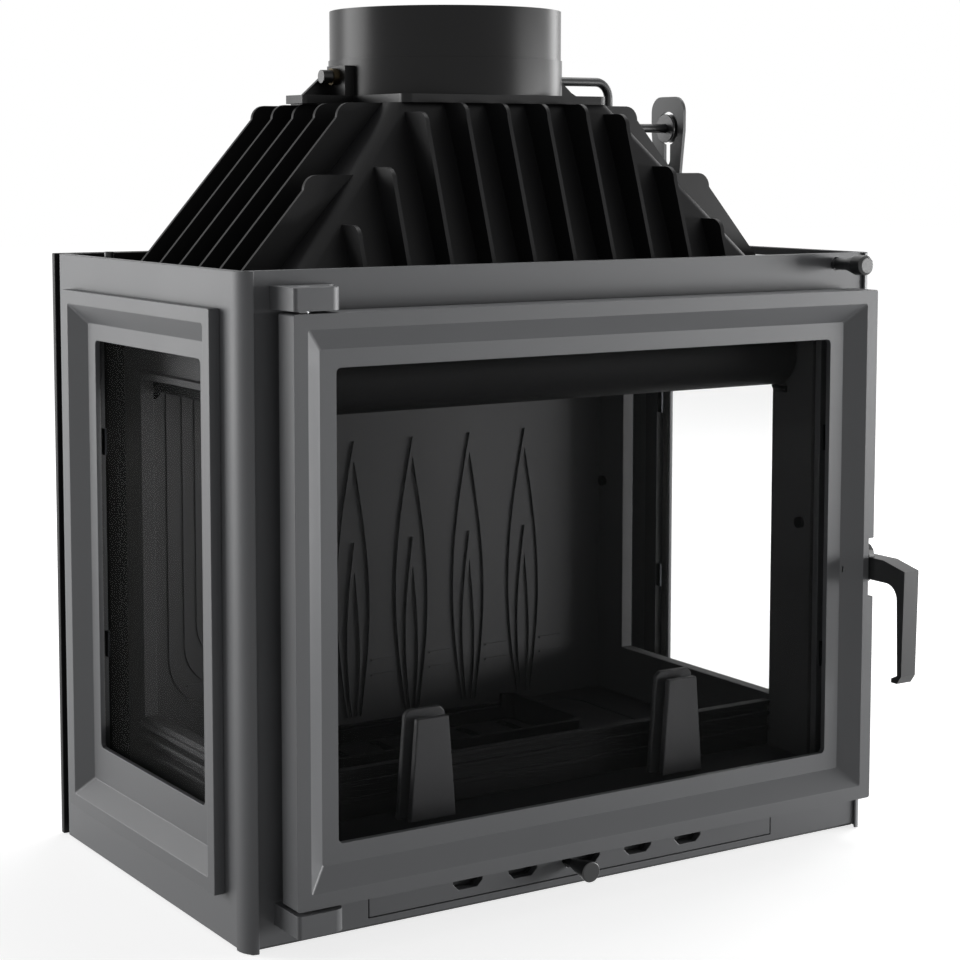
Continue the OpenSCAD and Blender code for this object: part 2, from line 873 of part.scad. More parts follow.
// A vertical groove that turns towards the middle at its foot
module frame_groove(x, z, r) {
    in_r = r - frame_w;
    facing_front(fireback_y) slab(concat(
        [[x, firebox_top + over], [x - frame_w, firebox_top + over]],
        [for (i = [0 : arc_steps]) let (a = -90 * i / arc_steps)
            [x - r + in_r * cos(a), z + r + in_r * sin(a)]],
        [for (i = [arc_steps : -1 : 0]) let (a = -90 * i / arc_steps)
            [x - r + r * cos(a), z + r + r * sin(a)]]), -frame_d, over);
}

module fireback() {
    first = -(lancets - 1) / 2;
    brick_half = lancet_pitch * brick_half_share;
    color("#2d2d2e") at_plate() {
        difference() {
            span(-liner_x + seat_gap, liner_x - seat_gap, fireback_y, fireback_y + fireback_t,
                hearth_z - hearth_t, firebox_top);
            for (i = [0 : len(frame_r) - 1]) mirror([1, 0, 0])
                frame_groove(liner_x - frame_ins[i], hearth_z + frame_ups[i], frame_r[i]);
        }
        for (i = [0 : lancets - 1]) translate([(first + i) * lancet_pitch, 0, 0]) {
            lancet(lancet_half, lancet_foot_z, lancet_tip_z);
            lancet(flame_half, lancet_foot_z, flame_tip_z);
        }
        for (i = [0 : lancets]) for (up = brick_ups)
            translate([(first - 0.5 + i) * lancet_pitch, fireback_y - brick_relief, hearth_z + up])
                span(-brick_half, brick_half, 0, brick_relief + frame_d + over, 0, brick_h);
    }
}

module liner() {
    outer = liner_x + liner_lip;
    rear = fireback_y + fireback_t;
    y0 = liner_open_y0 - liner_rim;
    y1 = liner_open_y1 + liner_rim;
    difference() {
        union() {
            span(liner_x, liner_x + liner_t, liner_y0, rear, hearth_z - hearth_t, firebox_top);
            span(liner_x, outer, y0, y1, liner_open_z0 - liner_rim, liner_open_z1 + liner_rim);
            for (drop = ridge_drops)
                span(liner_x, outer + liner_ridge, y0, y1, rail_top - drop - ridge_h, rail_top - drop);
        }
        span(liner_x - over, outer + liner_ridge + over, liner_open_y0, liner_open_y1, liner_open_z0,
            liner_open_z1);
    }
}

module right_liner() {
    color("#262627") at_plate() liner();
}

module left_liner() {
    color("#262627") at_plate() mirror([1, 0, 0]) liner();
}

module liner_bolts() {
    front = liner_y0 + liner_bolt_front;
    rear = fireback_y - liner_bolt_rear;
    color("#1c1c1d") at_plate() mirror_pair() for (y = [front, rear])
        bar_x(bolt_d, liner_x - bolt_head, liner_x, y, liner_bolt_z);
}

module hearth_plate() {
    low = hearth_z - hearth_t;
    edge = tray_half + slide_gap;
    foot = tray_z0 - seat_gap;
    groove_end = rail_y + rail_t + over;
    mid_x = outline_x - outline_r;
    mid_y = outline_y - outline_r;
    color("#1a1a1b") at_plate() {
        difference() {
            span(-liner_x + seat_gap, liner_x - seat_gap, liner_y0, fireback_y - seat_gap, low, hearth_z);
            slab(round_rect(-edge, edge, tray_y0 - slide_gap, tray_y1 + slide_gap, tray_r), low - over,
                hearth_z + over);
            mirror_pair() slab(concat([[outline_x, groove_end]], arc(mid_x, mid_y, outline_r, 0, 90),
                [[edge + over, outline_y], [edge + over, outline_y - outline_w]],
                arc(mid_x, mid_y, outline_r - outline_w, 90, 0), [[outline_x - outline_w, groove_end]]),
                hearth_z - outline_d, hearth_z + over);
        }
        mirror_pair() {
            span(edge, edge + ledge_t, tray_y0, tray_y1, foot - ledge_t, low + over);
            span(edge - ledge_w, edge + over, tray_y0, tray_y1, foot - ledge_t, foot);
        }
    }
}

module grate() {
    color("#1f1f20") at_plate() difference() {
        slab(round_rect(-tray_half, tray_half, tray_y0, tray_y1, tray_r), tray_z0, tray_rim);
        slab(round_rect(-tray_half + tray_t, tray_half - tray_t, tray_y0 + tray_t, tray_y1 - tray_t,
            tray_r - tray_t), tray_z0 + tray_t, tray_rim + over);
        span(-tray_half + tray_r, tray_half - tray_r, tray_y1 - tray_t - over, tray_y1 + over,
            tray_rear_rim, tray_rim + over);
        for (i = [0 : grate_slots - 1]) translate([(i - (grate_slots - 1) / 2) * slot_pitch, 0, 0])
            span(-grate_slot_w / 2, grate_slot_w / 2, tray_y1 - grate_slot_rear - grate_slot_l,
                tray_y1 - grate_slot_rear, tray_z0 - over, tray_z0 + tray_t + over);
    }
}

module front_rail() {
    lip = rail_y - ridge_out;
    ridges = [for (drop = ridge_drops) let (top = rail_top - drop)
        each [[rail_y, top], [lip, top], [lip, top - ridge_h], [rail_y, top - ridge_h]]];
    color("#232324") at_plate() plate_yz(concat(
        [[rail_y + rail_t, hearth_z], [rail_y + rail_t, rail_top]], ridges, [[rail_y, hearth_z]]),
        -liner_x + seat_gap, liner_x - seat_gap);
}

// A tapered log retainer: a front blade, a narrow web, and a rear blade that stands a little higher
module log_retainer() {
    top = log_top_w / 2;
    base = log_base_w / 2;
    more = log_rear_more;
    rear_y = log_y + log_blade + log_gap;
    plate_xz([[-base, hearth_z], [base, hearth_z], [top, log_top], [-top, log_top]],
        log_y, log_y + log_blade);
    span(-log_web_w / 2, log_web_w / 2, log_y + log_blade - over, rear_y + over, hearth_z, log_web_top);
    plate_xz([[-base - more, hearth_z], [base + more, hearth_z], [top + more, log_rear_top - more],
        [top, log_rear_top], [-top, log_rear_top], [-top - more, log_rear_top - more]],
        rear_y, rear_y + log_rear);
}

module left_log_retainer() {
    color("#343435") at_plate() translate([-log_x, 0, 0]) log_retainer();
}

module right_log_retainer() {
    color("#343435") at_plate() translate([log_x, 0, 0]) log_retainer();
}

module deflector() {
    mid = deflector_z + nose_r;
    inner = nose_r - nose_t;
    steps = 2 * arc_steps;
    color("#242425") at_plate() plate_yz(concat(
        [[deflector_y1, deflector_z], [deflector_y1, deflector_z + nose_t]],
        arc(nose_y, mid, inner, 270, 90, steps), [[lip_y, mid + inner], [lip_y, mid + nose_r]],
        arc(nose_y, mid, nose_r, 90, 270, steps)), -deflector_x, deflector_x);
}

module deflector_brackets() {
    z = deflector_z - seat_gap;
    edge = rest_t / 2;
    rest_y = liner_open_y0 - rest_front - rest_l;
    color("#1c1c1d") at_plate() mirror_pair() for (y = [rest_y, liner_open_y1])
        plate_xz([[liner_x, z], [liner_x - rest_leg, z], [liner_x - rest_leg, z - edge],
            [liner_x - edge, z - rest_leg], [liner_x, z - rest_leg]], y, y + rest_l);
}

// Door

module rope_ring(gap, y0, y1) {
    facing_front(y0) ring_plate(door_half - rope_in + gap, door_z0 + rope_in_z - gap,
        door_z1 - rope_in_z + gap, rope_d + 2 * gap, y1 - y0);
}

module door_frame() {
    pocket = glass_lap + slide_gap;
    bore = hinge_pin_d + 2 * run_gap;
    color("#535456") at_plate() difference() {
        facing_front(-door_face) slab(round_rect(-door_half, door_half, door_z0, door_z1, door_edge_r),
            -door_t, 0);
        facing_front(-door_face) trim_slope(door_half, door_z0, door_z1, door_band, door_slope,
            door_slope_d);
        facing_front(-door_face) slab(round_rect(-door_open_x, door_open_x, door_open_z0, door_open_z1,
            corner_r), -door_t, 0);
        facing_front(-glass_face) slab(round_rect(-door_open_x - pocket, door_open_x + pocket,
            door_open_z0 - pocket, door_open_z1 + pocket, corner_r), -door_t, 0);
        rope_ring(seat_gap, -door_gap - rope_bed, 0);
        translate([-door_half, -door_gap, 0]) rotate([0, 0, 45])
            span(-door_heel, door_heel, -door_heel / 2, door_heel, door_z0 - over, door_z1 + over);
        span(door_half - notch_w, door_half + over, -door_face - over, -door_gap + over,
            handle_z - notch_down, handle_z + notch_up);
        bar_z(bore, hinge_x, hinge_y, door_z0 - over, door_z0 + pin_bite);
        bar_z(bore, hinge_x, hinge_y, door_z1 - pin_bite, door_z1 + over);
        bar_x(handle_pin_d + 2 * run_gap, door_half - notch_w - handle_pin_l, door_half + over,
            handle_y, handle_z);
    }
}

module door_seal() {
    color("#c9c5b8") at_plate() rope_ring(0, -door_gap - rope_bed + seat_gap, -seat_gap);
}

module door_glass() {
    color("#20262880") at_plate() facing_front(-glass_face + glass_seal_t)
        slab(round_rect(-glass_x, glass_x, glass_z0, glass_z1, corner_r), -glass_t, 0);
}

module door_glass_seal() {
    color("#2a2a2a") at_plate() facing_front(-glass_face)
        ring_plate(glass_x, glass_z0, glass_z1, glass_seal_w, glass_seal_t);
}

module glass_clips() {
    y0 = -glass_face + glass_seal_t + glass_t;
    half = clip_l / 2;
    z_mid = (glass_z0 + glass_z1) / 2;
    z_step = (glass_z1 - glass_z0) / 4;
    x_step = glass_x / 2;
    color("#77787a") at_plate() mirror_pair() {
        for (z = [z_mid - z_step, z_mid + z_step])
            span(glass_x - clip_lap, glass_x + slide_gap, y0, y0 + clip_t, z - half, z + half);
        for (z = [glass_z0 - slide_gap, glass_z1 + slide_gap - clip_lap])
            span(x_step - half, x_step + half, y0, y0 + clip_t, z, z + clip_lap);
    }
}

module hinge_bracket(z0) {
    x0 = -door_half - slide_gap;
    x1 = x0 + bracket_w;
    points = concat([[x0, 0]], arc(x0 + bracket_heel_r, -bracket_front + bracket_heel_r, bracket_heel_r,
        180, 270), arc(x1 - bracket_r, -bracket_front + bracket_r, bracket_r, 270, 360),
        [[x1, -bracket_web_r]], arc(x1 + bracket_web - bracket_web_r, 0, bracket_web_r, 270, 360));
    difference() {
        slab(points, z0, z0 + bracket_h);
        bar_z(hinge_pin_d, hinge_x, hinge_y, z0 - over, z0 + bracket_h + over);
    }
}

module top_hinge_bracket() {
    color("#404143") at_plate() hinge_bracket(door_z1 + bracket_gap);
}

module bottom_hinge_bracket() {
    color("#404143") at_plate() hinge_bracket(door_z0 - bracket_gap - bracket_h);
}

module hinge_pins() {
    color("#9a9b9d") at_plate() {
        bar_z(hinge_pin_d, hinge_x, hinge_y, door_z1 - pin_bite + over, door_z1 + bracket_gap + bracket_h);
        bar_z(hinge_pin_d, hinge_x, hinge_y, door_z0 - bracket_gap - bracket_h, door_z0 + pin_bite - over);
    }
}

module hinge_screws() {
    x = -door_half + bracket_w / 2;
    high = door_z1 + bracket_gap + bracket_h / 2;
    low = door_z0 - bracket_gap - bracket_h / 2;
    color("#55565a") at_plate() for (z = [high, low]) bar_y(bolt_d, x, wall, wall + bolt_head, z);
}

// The handle seen from the side: arm, grip and toe
function handle_points() =
    let (front = handle_y - arm_reach, top = handle_z + arm_up, low = handle_z - arm_down,
        foot = top - arm_drop - grip_h, back = front + grip_lean + grip_low_t)
    concat([[handle_y, top], [handle_y - arm_flat, top], [front, top - arm_drop]],
        [[front + grip_lean, foot + toe_h], [back, foot], [back + toe_reach, foot]],
        [[back + toe_reach, foot + toe_h / 2], [back, foot + toe_h]],
        arc(front + grip_t + arm_r, low - arm_r, arm_r, 180, 90), [[handle_y, low]]);

// The latch cam seen from the side, grown by a gap
function cam_points(gap) =
    let (ring = cam_ring_d / 2 + gap, r = cam_top_d / 2 + gap)
    concat(arc(handle_y, handle_z, ring, 180, 360),
        arc(handle_y + cam_top_y, handle_z + cam_top_z, r, 0, 180));

// The hub carries the cam, so the arm beside the hub leaves room for it
module door_handle() {
    end = hub_x0 + hub_l;
    color("#151617") at_plate() difference() {
        union() {
            difference() {
                plate_yz(handle_points(), hub_x0, end);
                plate_yz(cam_points(cam_gap), hub_x0 - over, hub_x0 + cam_gap + cam_t + seat_gap);
            }
            bar_x(hub_d, hub_x0, end, handle_y, handle_z);
        }
        bar_x(handle_pin_d, hub_x0 - over, end - over, handle_y, handle_z);
    }
}

module latch_cam() {
    x0 = hub_x0 + cam_gap;
    color("#1b1c1d") at_plate() difference() {
        union() {
            plate_yz(cam_points(0), x0, x0 + cam_t);
            span(x0, x0 + cam_t, handle_y, handle_y + nose_reach, handle_z - nose_h, handle_z - seat_gap);
        }
        bar_x(hub_d, x0 - over, x0 + cam_t + over, handle_y, handle_z);
    }
}

module handle_pin() {
    color("#8c8d8f") at_plate() bar_x(handle_pin_d, door_half - notch_w - handle_pin_l + over,
        hub_x0 + hub_l - over, handle_y, handle_z);
}

module latch_keeper() {
    color("#3a3b3c") at_plate()
        span(hub_x0, hub_x0 + keeper_w, -keeper_t, 0, handle_z, handle_z + keeper_h);
}

// Side windows

module side_trim() {
    tub = win_hole_in + seat_gap;
    facing_right(half_w + win_proud) difference() {
        union() {
            slab(round_rect(-win_half, win_half, win_z0, win_z1, door_edge_r), -win_proud, 0);
            slab(round_rect(-win_half + tub, win_half - tub, win_z0 + tub, win_z1 - tub, corner_r),
                -win_proud - win_tub, -over);
        }
        trim_slope(win_half, win_z0, win_z1, win_band, win_slope, win_slope_d);
        slab(round_rect(-win_open, win_open, win_open_z0, win_open_z1, corner_r),
            -win_proud - win_tub - over, 0);
    }
}

module right_window_frame() {
    color("#808183") at_plate() side_trim();
}

module left_window_frame() {
    color("#808183") at_plate() mirror([1, 0, 0]) side_trim();
}

module side_pane() {
    u = win_open + glass_lap;
    facing_right(tub_x - side_seal_t) slab(round_rect(-u, u, win_open_z0 - glass_lap,
        win_open_z1 + glass_lap, corner_r), -side_glass_t, 0);
}

module right_glass() {
    color("#20262880") at_plate() side_pane();
}

module left_glass() {
    color("#20262880") at_plate() mirror([1, 0, 0]) side_pane();
}

module side_seal() {
    facing_right(tub_x) ring_plate(win_open + glass_lap, win_open_z0 - glass_lap, win_open_z1 + glass_lap,
        glass_seal_w, side_seal_t);
}

module right_glass_seal() {
    color("#2a2a2a") at_plate() side_seal();
}

module left_glass_seal() {
    color("#2a2a2a") at_plate() mirror([1, 0, 0]) side_seal();
}

module side_retainer() {
    rim = win_hole_in + seat_gap;
    lap = glass_lap + retainer_gap;
    facing_right(tub_x) difference() {
        slab(round_rect(-win_half + rim, win_half - rim, win_z0 + rim, win_z1 - rim, corner_r),
            -retainer_t, 0);
        slab(round_rect(-win_open - lap, win_open + lap, win_open_z0 - lap, win_open_z1 + lap, corner_r),
            -retainer_t - over, over);
    }
}

module right_glass_retainer() {
    color("#141415") at_plate() side_retainer();
}

module left_glass_retainer() {
    color("#141415") at_plate() mirror([1, 0, 0]) side_retainer();
}

module side_glass_clips() {
    x1 = tub_x - side_seal_t - side_glass_t;
    edge = win_open + glass_lap + retainer_gap;
    half = clip_l / 2;
    z_mid = (win_open_z0 + win_open_z1) / 2;
    z_step = (win_open_z1 - win_open_z0) / 4;
    color("#77787a") at_plate() mirror_pair() for (z = [z_mid - z_step, z_mid + z_step]) {
        span(x1 - clip_t, x1, win_mid_y + edge - clip_lap, win_mid_y + edge, z - half, z + half);
        span(x1 - clip_t, x1, win_mid_y - edge, win_mid_y - edge + clip_lap, z - half, z + half);
    }
}

// Ash drawer and air slide

module slot_cuts(y0, y1) {
    top = slot_z0 + slot_h;
    bend = slot_z0 + slot_cut;
    for (i = [0 : len(slot_at) - 1]) translate([slot_at[i], 0, 0])
        plate_xz([[-slot_half[i], top], [-slot_half[i], bend], [-slot_half[i] + slot_cut, slot_z0],
            [slot_half[i] - slot_cut, slot_z0], [slot_half[i], bend], [slot_half[i], top]], y0, y1);
}

module drawer_front() {
    color("#5a5b5d") at_plate() difference() {
        span(-drawer_w / 2, drawer_w / 2, 0, wall, panel_z0, panel_z1);
        slot_cuts(-over, wall + over);
    }
}

module ash_pan() {
    front = wall + air_slide_t + 2 * slide_gap;
    color("#3a3b3c") at_plate() difference() {
        union() {
            span(-pan_half, pan_half, front, drawer_y1, panel_z0, pan_z1);
            mirror_pair() span(pan_half - pan_arm, pan_half, wall, front + over, panel_z0, pan_z1);
        }
        span(-pan_half + pan_t, pan_half - pan_t, front + pan_t, drawer_y1 - pan_t, panel_z0 + pan_t,
            pan_z1 + over);
    }
}

module air_slide() {
    y0 = wall + seat_gap;
    x = pan_half - pan_arm - air_travel - slide_gap;
    color("#4a4b4d") at_plate() difference() {
        span(-x, x, y0, y0 + air_slide_t, panel_z0 + seat_gap, pan_z1 - slide_gap);
        difference() {
            slot_cuts(y0 - over, y0 + air_slide_t + over);
            span(air_x - stem_d, air_x + stem_d, y0 - 2 * over, y0 + air_slide_t + 2 * over, 0, panel_z1);
        }
        bar_y(stem_d, air_x, y0 - over, y0 + air_slide_t + over, air_z);
    }
}

module air_knob() {
    rear = wall + seat_gap + air_slide_t;
    r1 = air_knob_d / 2;
    color("#1b1c1d") at_plate() {
        bar_y(stem_d, air_x, -stem_l - over, rear, air_z);
        translate([air_x, -stem_l, air_z]) rotate([90, 0, 0]) rotate_extrude()
            polygon([[0, 0], [air_knob_d0 / 2, 0], [r1, air_knob_l - air_knob_edge],
                [r1 - air_knob_edge, air_knob_l], [0, air_knob_l]]);
    }
}

module drawer_runners() {
    x = pan_half - runner_in - runner_w;
    color("#3a3b3c") at_plate() mirror_pair()
        span(x, x + runner_w, liner_y0, drawer_y1, base_top, base_top + runner_h);
}

base_plate();
front_plate();
left_side();
right_side();
back_plate();
top_plate();
lifting_studs();
hood();
hood_bolts();
flue_collar();
damper_disc();
damper_axle();
damper_bushes();
crank_washers();
link_plate();
pull_rod();
damper_knob();
rod_guide();
hearth_supports();
fireback();
left_liner();
right_liner();
liner_bolts();
hearth_plate();
grate();
front_rail();
left_log_retainer();
right_log_retainer();
deflector();
deflector_brackets();
door_frame();
door_glass();
door_glass_seal();
door_seal();
glass_clips();
top_hinge_bracket();
bottom_hinge_bracket();
hinge_pins();
hinge_screws();
door_handle();
latch_cam();
handle_pin();
latch_keeper();
left_window_frame();
right_window_frame();
left_glass();
right_glass();
left_glass_seal();
right_glass_seal();
left_glass_retainer();
right_glass_retainer();
side_glass_clips();
ash_pan();
drawer_front();
air_slide();
air_knob();
drawer_runners();
casing_bolts();
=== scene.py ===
import math

import bpy
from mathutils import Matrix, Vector

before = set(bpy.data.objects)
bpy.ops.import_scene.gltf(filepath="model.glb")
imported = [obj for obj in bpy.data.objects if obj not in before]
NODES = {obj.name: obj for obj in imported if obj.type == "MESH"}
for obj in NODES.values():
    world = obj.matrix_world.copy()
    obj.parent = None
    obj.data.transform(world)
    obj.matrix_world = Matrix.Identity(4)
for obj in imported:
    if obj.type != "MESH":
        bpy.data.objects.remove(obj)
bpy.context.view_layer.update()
scene = bpy.context.scene
MM = 0.001
# Real sizes, in mm: how far the paint's tone wanders, and how far apart rolled glass's slow waves lie
TONE_SPREAD = 90
GLASS_WAVE = 160


def linear(code):
    """The linear colour, with alpha, of an sRGB hex value."""
    parts = [int(code[i:i + 2], 16) / 255 for i in (1, 3, 5)]
    return [c / 12.92 if c <= 0.04045 else ((c + 0.055) / 1.055) ** 2.4 for c in parts] + [1.0]


def add(tree, kind, inputs=(), **settings):
    """Adds one node with its settings; inputs hold values or the sockets that feed them."""
    node = tree.nodes.new(kind)
    for name, value in settings.items():
        setattr(node, name, value)
    for name, value in dict(inputs).items():
        if isinstance(value, bpy.types.NodeSocket):
            tree.links.new(value, node.inputs[name])
        else:
            node.inputs[name].default_value = value
    return node


def blank(name):
    """A new material with only its output node."""
    material = bpy.data.materials.new(name)
    material.use_nodes = True
    tree = material.node_tree
    tree.nodes.clear()
    return material, tree, add(tree, "ShaderNodeOutputMaterial")


def painted_iron(name, dark, light, roughness, grain, relief, gloss=0.5):
    """Heat-proof paint sprayed on sand-cast iron: grain is the sand's size and relief its height, in mm."""
    patchy = 0.05
    material, tree, out = blank(name)
    place = add(tree, "ShaderNodeTexCoord").outputs["Object"]
    cloud = add(tree, "ShaderNodeTexNoise", {"Vector": place, "Scale": 1 / (TONE_SPREAD * MM), "Detail": 3.0})
    sand = add(tree, "ShaderNodeTexNoise",
               {"Vector": place, "Scale": 1 / (grain * MM), "Detail": 2.0, "Roughness": 0.55})
    tone = add(tree, "ShaderNodeMix", {"Factor": cloud.outputs["Fac"]}, data_type="RGBA")
    tone.inputs["A"].default_value = linear(dark)
    tone.inputs["B"].default_value = linear(light)
    tone_out = next(s for s in tone.outputs if s.type == "RGBA")
    dull = add(tree, "ShaderNodeMapRange",
               {"Value": cloud.outputs["Fac"], "To Min": roughness - patchy, "To Max": roughness + patchy})
    bump = add(tree, "ShaderNodeBump",
               {"Height": sand.outputs["Fac"], "Distance": relief * MM, "Strength": 1.0})
    shader = add(tree, "ShaderNodeBsdfPrincipled",
                 {"Base Color": tone_out, "Roughness": dull.outputs["Result"],
                  "Normal": bump.outputs["Normal"], "Specular IOR Level": gloss})
    tree.links.new(shader.outputs["BSDF"], out.inputs["Surface"])
    return material


def bare_metal(name, colour, roughness, scratch):
    """Drawn or turned metal: faint marks about scratch mm across break up the shine."""
    patchy = 0.08
    depth = 0.02
    material, tree, out = blank(name)
    place = add(tree, "ShaderNodeTexCoord").outputs["Object"]
    marks = add(tree, "ShaderNodeTexNoise", {"Vector": place, "Scale": 1 / (scratch * MM), "Detail": 4.0})
    dull = add(tree, "ShaderNodeMapRange",
               {"Value": marks.outputs["Fac"], "To Min": roughness - patchy, "To Max": roughness + patchy})
    bump = add(tree, "ShaderNodeBump", {"Height": marks.outputs["Fac"], "Distance": depth * MM})
    shader = add(tree, "ShaderNodeBsdfPrincipled",
                 {"Base Color": linear(colour), "Metallic": 1.0, "Roughness": dull.outputs["Result"],
                  "Normal": bump.outputs["Normal"]})
    tree.links.new(shader.outputs["BSDF"], out.inputs["Surface"])
    return material


def ceramic_glass(name):
    """Clear glass ceramic, drawn flat: almost nothing of its body shows, only a weak mirror on its face."""
    depth = 0.01
    material, tree, out = blank(name)
    place = add(tree, "ShaderNodeTexCoord").outputs["Object"]
    wave = add(tree, "ShaderNodeTexNoise", {"Vector": place, "Scale": 1 / (GLASS_WAVE * MM)})
    bump = add(tree, "ShaderNodeBump", {"Height": wave.outputs["Fac"], "Distance": depth * MM})
    shader = add(tree, "ShaderNodeBsdfPrincipled",
                 {"Base Color": linear("#303231"), "Roughness": 0.03, "Alpha": 0.06,
                  "Specular IOR Level": 0.09, "Normal": bump.outputs["Normal"]})
    tree.links.new(shader.outputs["BSDF"], out.inputs["Surface"])
    return material


def fibre_rope(name, dark, light, strand):
    """Knitted glass-fibre rope: its face is broken up into loops, strand mm wide, each painted lighter in its
    middle and darker at its sunken edge as painted shade in the creases.
    """
    depth = 0.4
    material, tree, out = blank(name)
    place = add(tree, "ShaderNodeTexCoord").outputs["Object"]
    knit = add(tree, "ShaderNodeTexVoronoi", {"Vector": place, "Scale": 1 / (strand * MM)})
    # Painted shade: the colour darkens from each loop's middle towards its sunken edge
    tone = add(tree, "ShaderNodeMix", {"Factor": knit.outputs["Distance"]}, data_type="RGBA")
    tone.inputs["A"].default_value = linear(light)
    tone.inputs["B"].default_value = linear(dark)
    tone_out = next(s for s in tone.outputs if s.type == "RGBA")
    bump = add(tree, "ShaderNodeBump",
               {"Height": knit.outputs["Distance"], "Distance": depth * MM}, invert=True)
    shader = add(tree, "ShaderNodeBsdfPrincipled",
                 {"Base Color": tone_out, "Roughness": 0.9, "Normal": bump.outputs["Normal"]})
    tree.links.new(shader.outputs["BSDF"], out.inputs["Surface"])
    return material


# Grey stove paint on the walls: matt, with a soft sheen where a lamp stands behind it
casing_paint = painted_iron("satin_grey_stove_paint", "#626365", "#696a6c", 0.46, 1.1, 0.05, 0.4)
# The same paint a shade darker on the front plate, the frames and what hangs on them
trim_paint = painted_iron("satin_anthracite_stove_paint", "#5a5b5d", "#616264", 0.44, 1.0, 0.04, 0.4)
# Black stove paint over the ribs: nearly no colour of its own, so its slopes show only what they mirror; on
# the back plate the same black is painted shade for the groove beside its flange
black_paint_and_shade = painted_iron("satin_black_paint_and_shade", "#131314", "#19191a", 0.45, 1.2, 0.06, 0.16)
# The turned collar takes the same black paint smoother, and mirrors the lamps in upright bands
collar_paint = painted_iron("smooth_black_stove_paint", "#0b0b0c", "#101011", 0.3, 1.2, 0.03, 0.2)
# Cast plates rubbed with graphite: dark grey and dull, the grain rubbed nearly flat
firebox_iron = painted_iron("graphited_cast_iron", "#424243", "#4b4b4c", 0.62, 1.4, 0.015, 0.2)
# The hearth, its rail, the grate, the deflector and their fixings are painted matt near black as painted
# shade, so the unlit floor of the fire and the throat above it are hardly seen
hearth_shade_black = painted_iron("matt_black_painted_shade", "#0c0c0d", "#121213", 0.6, 1.4, 0.02, 0.06)
# The log retainers are a touch darker and shinier than the firebox, and catch the front light
retainer_iron = painted_iron("painted_cast_iron", "#303032", "#373739", 0.5, 1.2, 0.06, 0.3)
# Rolled sheet under a thin dark coat: flat and even
sheet_paint = painted_iron("satin_painted_sheet_steel", "#3b3c3d", "#414243", 0.45, 0.6, 0.02, 0.4)
# Powder coat on forged fittings: fine orange-peel skin with a tighter shine
fitting_paint = painted_iron("black_powder_coat", "#1f2021", "#252627", 0.36, 0.7, 0.03)
# Drawn bar left bare: bright grey with a soft, slightly broken shine
steel = bare_metal("drawn_bright_steel", "#a9aaab", 0.32, 0.8)
# Steel clips darkened in an oil bath
blued_steel = bare_metal("oil_blackened_steel", "#2b2c2e", 0.4, 0.8)
# Bearing bronze soaked in oil: a dull brown
bronze = bare_metal("oiled_bearing_bronze", "#3c3528", 0.5, 0.6)
glass = ceramic_glass("clear_glass_ceramic")
rope = fibre_rope("grey_fibre_rope", "#3a3a39", "#6c6b68", 1.6)

FINISHES = {
    casing_paint: ["left_side", "right_side"],
    trim_paint: ["front_plate", "door_frame", "left_window_frame", "right_window_frame", "drawer_front",
                 "top_hinge_bracket", "bottom_hinge_bracket"],
    # The back plate takes this black as painted shade, so the groove beside its flange stays dark
    black_paint_and_shade: ["hood", "top_plate", "back_plate"],
    collar_paint: ["flue_collar"],
    firebox_iron: ["fireback", "left_liner", "right_liner", "damper_disc"],
    retainer_iron: ["left_log_retainer", "right_log_retainer"],
    # Painted shade: near black on the floor of the fire and the parts in and above it
    hearth_shade_black: ["hearth_plate", "front_rail", "grate", "deflector", "deflector_brackets", "liner_bolts",
                  "hearth_supports"],
    sheet_paint: ["base_plate", "link_plate", "rod_guide", "latch_keeper", "left_glass_retainer",
                  "right_glass_retainer", "ash_pan", "air_slide", "drawer_runners"],
    fitting_paint: ["lifting_studs", "hood_bolts", "damper_axle", "crank_washers", "damper_knob",
                    "hinge_screws", "door_handle", "latch_cam", "air_knob", "casing_bolts"],
    steel: ["pull_rod", "hinge_pins", "handle_pin"],
    blued_steel: ["glass_clips", "side_glass_clips"],
    bronze: ["damper_bushes"],
    glass: ["door_glass", "left_glass", "right_glass"],
    rope: ["door_seal", "door_glass_seal", "left_glass_seal", "right_glass_seal"],
}
for finish, names in FINISHES.items():
    for name in names:
        NODES[name].data.materials.clear()
        NODES[name].data.materials.append(finish)


def round_edges(name, width, segments=2):
    """Rounds a casting's sharp edges by width mm, and lets the light run over them."""
    seam = 0.01
    flat_angle = math.radians(0.3)
    sharp_angle = math.radians(24)
    node = NODES[name]
    node.data.shade_smooth()
    join = node.modifiers.new("join", "WELD")
    join.merge_threshold = seam * MM
    flat = node.modifiers.new("flat", "DECIMATE")
    flat.decimate_type = "DISSOLVE"
    flat.angle_limit = flat_angle
    edge = node.modifiers.new("edge", "BEVEL")
    edge.width = width * MM
    edge.segments = segments
    edge.limit_method = "ANGLE"
    edge.angle_limit = sharp_angle
    shade = node.modifiers.new("shade", "WEIGHTED_NORMAL")
    shade.keep_sharp = False


# Radii of the edges, in mm; the handle's round grip takes one step more
COARSE = 2
EDGES = {
    1.2: ["left_side", "right_side", "door_frame", "left_window_frame", "right_window_frame",
          "top_hinge_bracket", "bottom_hinge_bracket", "left_log_retainer", "right_log_retainer"],
    0.8: ["front_plate", "back_plate", "hood", "top_plate", "flue_collar", "front_rail", "grate",
          "left_liner", "right_liner", "drawer_front", "deflector", "hearth_plate", "link_plate"],
    0.5: ["damper_disc", "air_knob", "damper_knob", "latch_cam", "crank_washers", "hood_bolts",
          "casing_bolts", "liner_bolts", "lifting_studs", "latch_keeper", "rod_guide"],
    2.2: ["door_handle"],
}
for width, names in EDGES.items():
    for name in names:
        round_edges(name, width, 3 if width > COARSE else 2)

